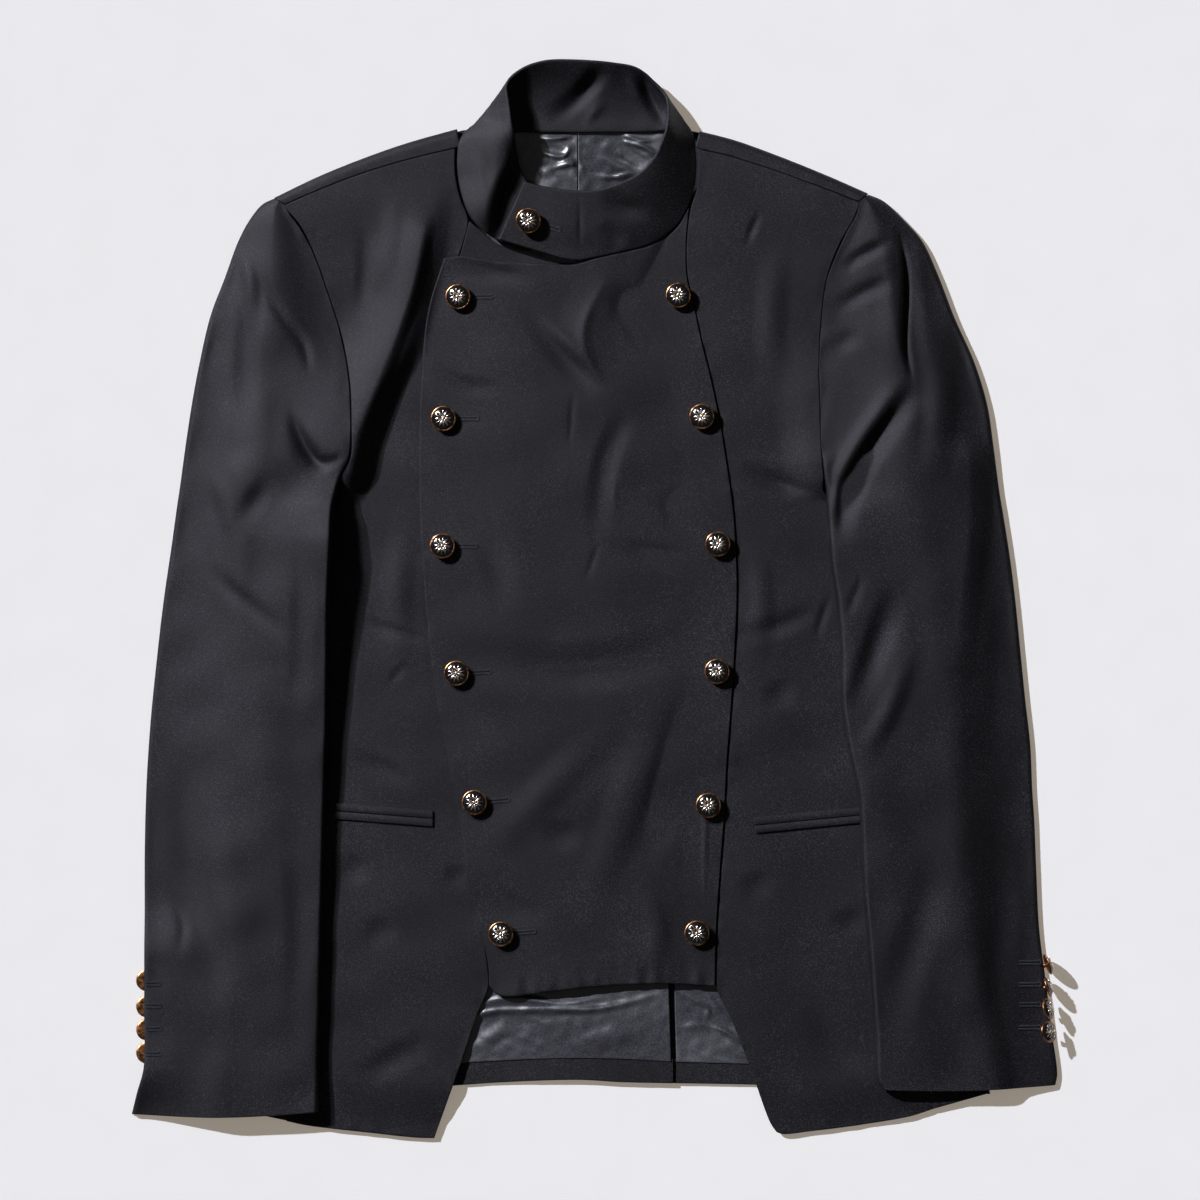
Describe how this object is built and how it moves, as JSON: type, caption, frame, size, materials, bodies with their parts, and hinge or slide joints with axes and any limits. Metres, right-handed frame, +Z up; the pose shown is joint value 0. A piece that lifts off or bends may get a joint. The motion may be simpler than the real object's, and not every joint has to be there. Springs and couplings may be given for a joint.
{
  "type": "military jacket",
  "caption": "Tailored dark twill jacket with a stand collar, a buttoned double-breasted front, jetted pockets and a back vent, laid flat on its back.",
  "frame": {"origin": "bottom centre of the jacket's bounding box, on the surface it lies on", "axes": "+X towards the wearer's left, +Y towards the collar, +Z up from the surface"},
  "size_m": [0.6488, 0.7553, 0.0245],
  "materials": {
    "twill": "matt wool twill, charcoal with a faint violet cast",
    "lining": "satin lining, slate grey",
    "button": "antique copper rim round a black enamelled dome"
  },
  "bodies": {
    "root": {"back_right": "twill", "back_left": "twill", "side_right": "twill", "side_left": "twill", "front_right": "twill", "underlap_right": "twill", "front_left": "twill", "plastron_left": "twill", "sleeve_top_right": "twill", "sleeve_top_left": "twill", "sleeve_under_right": "twill", "sleeve_under_left": "twill", "collar": "twill", "lining_neck_right": "lining", "lining_neck_left": "lining", "lining_hem_right": "lining", "lining_hem_left": "lining", "welt_upper_right": "twill", "welt_lower_right": "twill", "welt_upper_left": "twill", "welt_lower_left": "twill", "button_front_right_1": "button", "button_front_right_2": "button", "button_front_right_3": "button", "button_front_right_4": "button", "button_front_right_5": "button", "button_front_right_6": "button", "button_front_left_1": "button", "button_front_left_2": "button", "button_front_left_3": "button", "button_front_left_4": "button", "button_front_left_5": "button", "button_front_left_6": "button", "button_collar": "button", "button_cuff_left_1": "button", "button_cuff_left_2": "button", "button_cuff_left_3": "button", "button_cuff_left_4": "button", "button_cuff_right_1": "button", "button_cuff_right_2": "button", "button_cuff_right_3": "button", "button_cuff_right_4": "button"}
  },
  "joints": []
}
